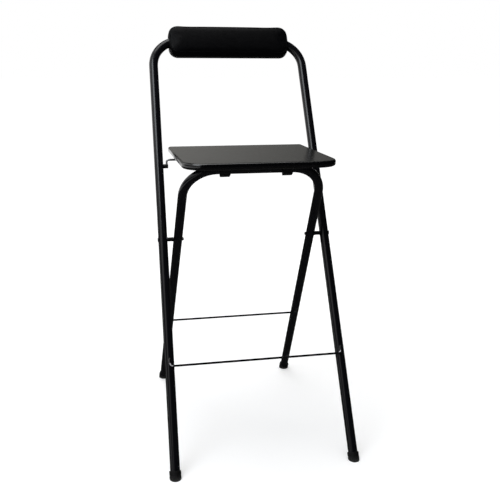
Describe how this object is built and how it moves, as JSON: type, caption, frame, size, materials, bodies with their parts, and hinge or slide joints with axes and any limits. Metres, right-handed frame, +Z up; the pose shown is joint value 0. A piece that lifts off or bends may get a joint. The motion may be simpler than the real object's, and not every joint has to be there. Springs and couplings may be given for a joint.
{
  "type": "folding bar stool",
  "caption": "Tall folding stool of crossed bent tubes with a flat seat board, a padded backrest, a footrest rod and rubber feet.",
  "frame": {"origin": "on the floor, in the middle of the space the four feet stand on", "axes": "+Z up, +Y from the front edge of the seat towards the backrest, +X to the sitter's left when facing forwards"},
  "size_m": [0.4426, 0.5816, 0.9816],
  "materials": {
    "black_paint": "satin",
    "seat_laminate": "satin",
    "pad_cover": "satin",
    "black_plastic": "matte",
    "black_rubber": "matte",
    "bright_zinc": "bright",
    "black_zinc": "dark"
  },
  "bodies": {
    "tall_frame_assembly": {"tall_frame": "black_paint", "footrest_rod": "black_paint", "front_foot_cap_left": "black_rubber", "front_foot_cap_right": "black_rubber", "pivot_bolt_left": "black_zinc", "pivot_bolt_right": "black_zinc", "pivot_sleeve_nut_left": "black_zinc", "pivot_sleeve_nut_right": "black_zinc", "pivot_spacer_left": "black_plastic", "pivot_spacer_right": "black_plastic", "pivot_washer_left": "black_zinc", "pivot_washer_right": "black_zinc", "backrest_pad": "pad_cover", "backrest_rear_cover": "black_plastic", "backrest_screw_left": "black_zinc", "backrest_screw_right": "black_zinc"},
    "rear_leg_assembly": {"rear_leg_frame": "black_paint", "spreader_rod": "black_paint", "rear_foot_cap_left": "black_rubber", "rear_foot_cap_right": "black_rubber"},
    "seat_assembly": {"seat_panel": "seat_laminate", "seat_hinge_rod": "bright_zinc", "hinge_knuckle_left": "black_plastic", "hinge_knuckle_right": "black_plastic", "rod_clip_left": "black_plastic", "rod_clip_right": "black_plastic", "seat_hook_left": "black_plastic", "seat_hook_right": "black_plastic", "rod_clip_screw_left_front": "black_zinc", "rod_clip_screw_left_rear": "black_zinc", "rod_clip_screw_right_front": "black_zinc", "rod_clip_screw_right_rear": "black_zinc", "seat_hook_screw_left_outer": "black_zinc", "seat_hook_screw_left_inner": "black_zinc", "seat_hook_screw_right_outer": "black_zinc", "seat_hook_screw_right_inner": "black_zinc"}
  },
  "joints": [
    {"name": "legs_fold", "type": "hinge", "parent": "tall_frame_assembly", "child": "rear_leg_assembly", "pos_m": [0, -0.02098, 0.48396], "axis": [-1, 0, 0], "range_deg": [0, 58.5]},
    {"name": "seat_flip", "type": "hinge", "parent": "tall_frame_assembly", "child": "seat_assembly", "pos_m": [0, 0.06485, 0.647], "axis": [-1, 0, 0], "range_deg": [0, 117]}
  ],
  "couplings": [
    {"joint": "seat_flip", "follows": "legs_fold", "ratio": 2}
  ]
}
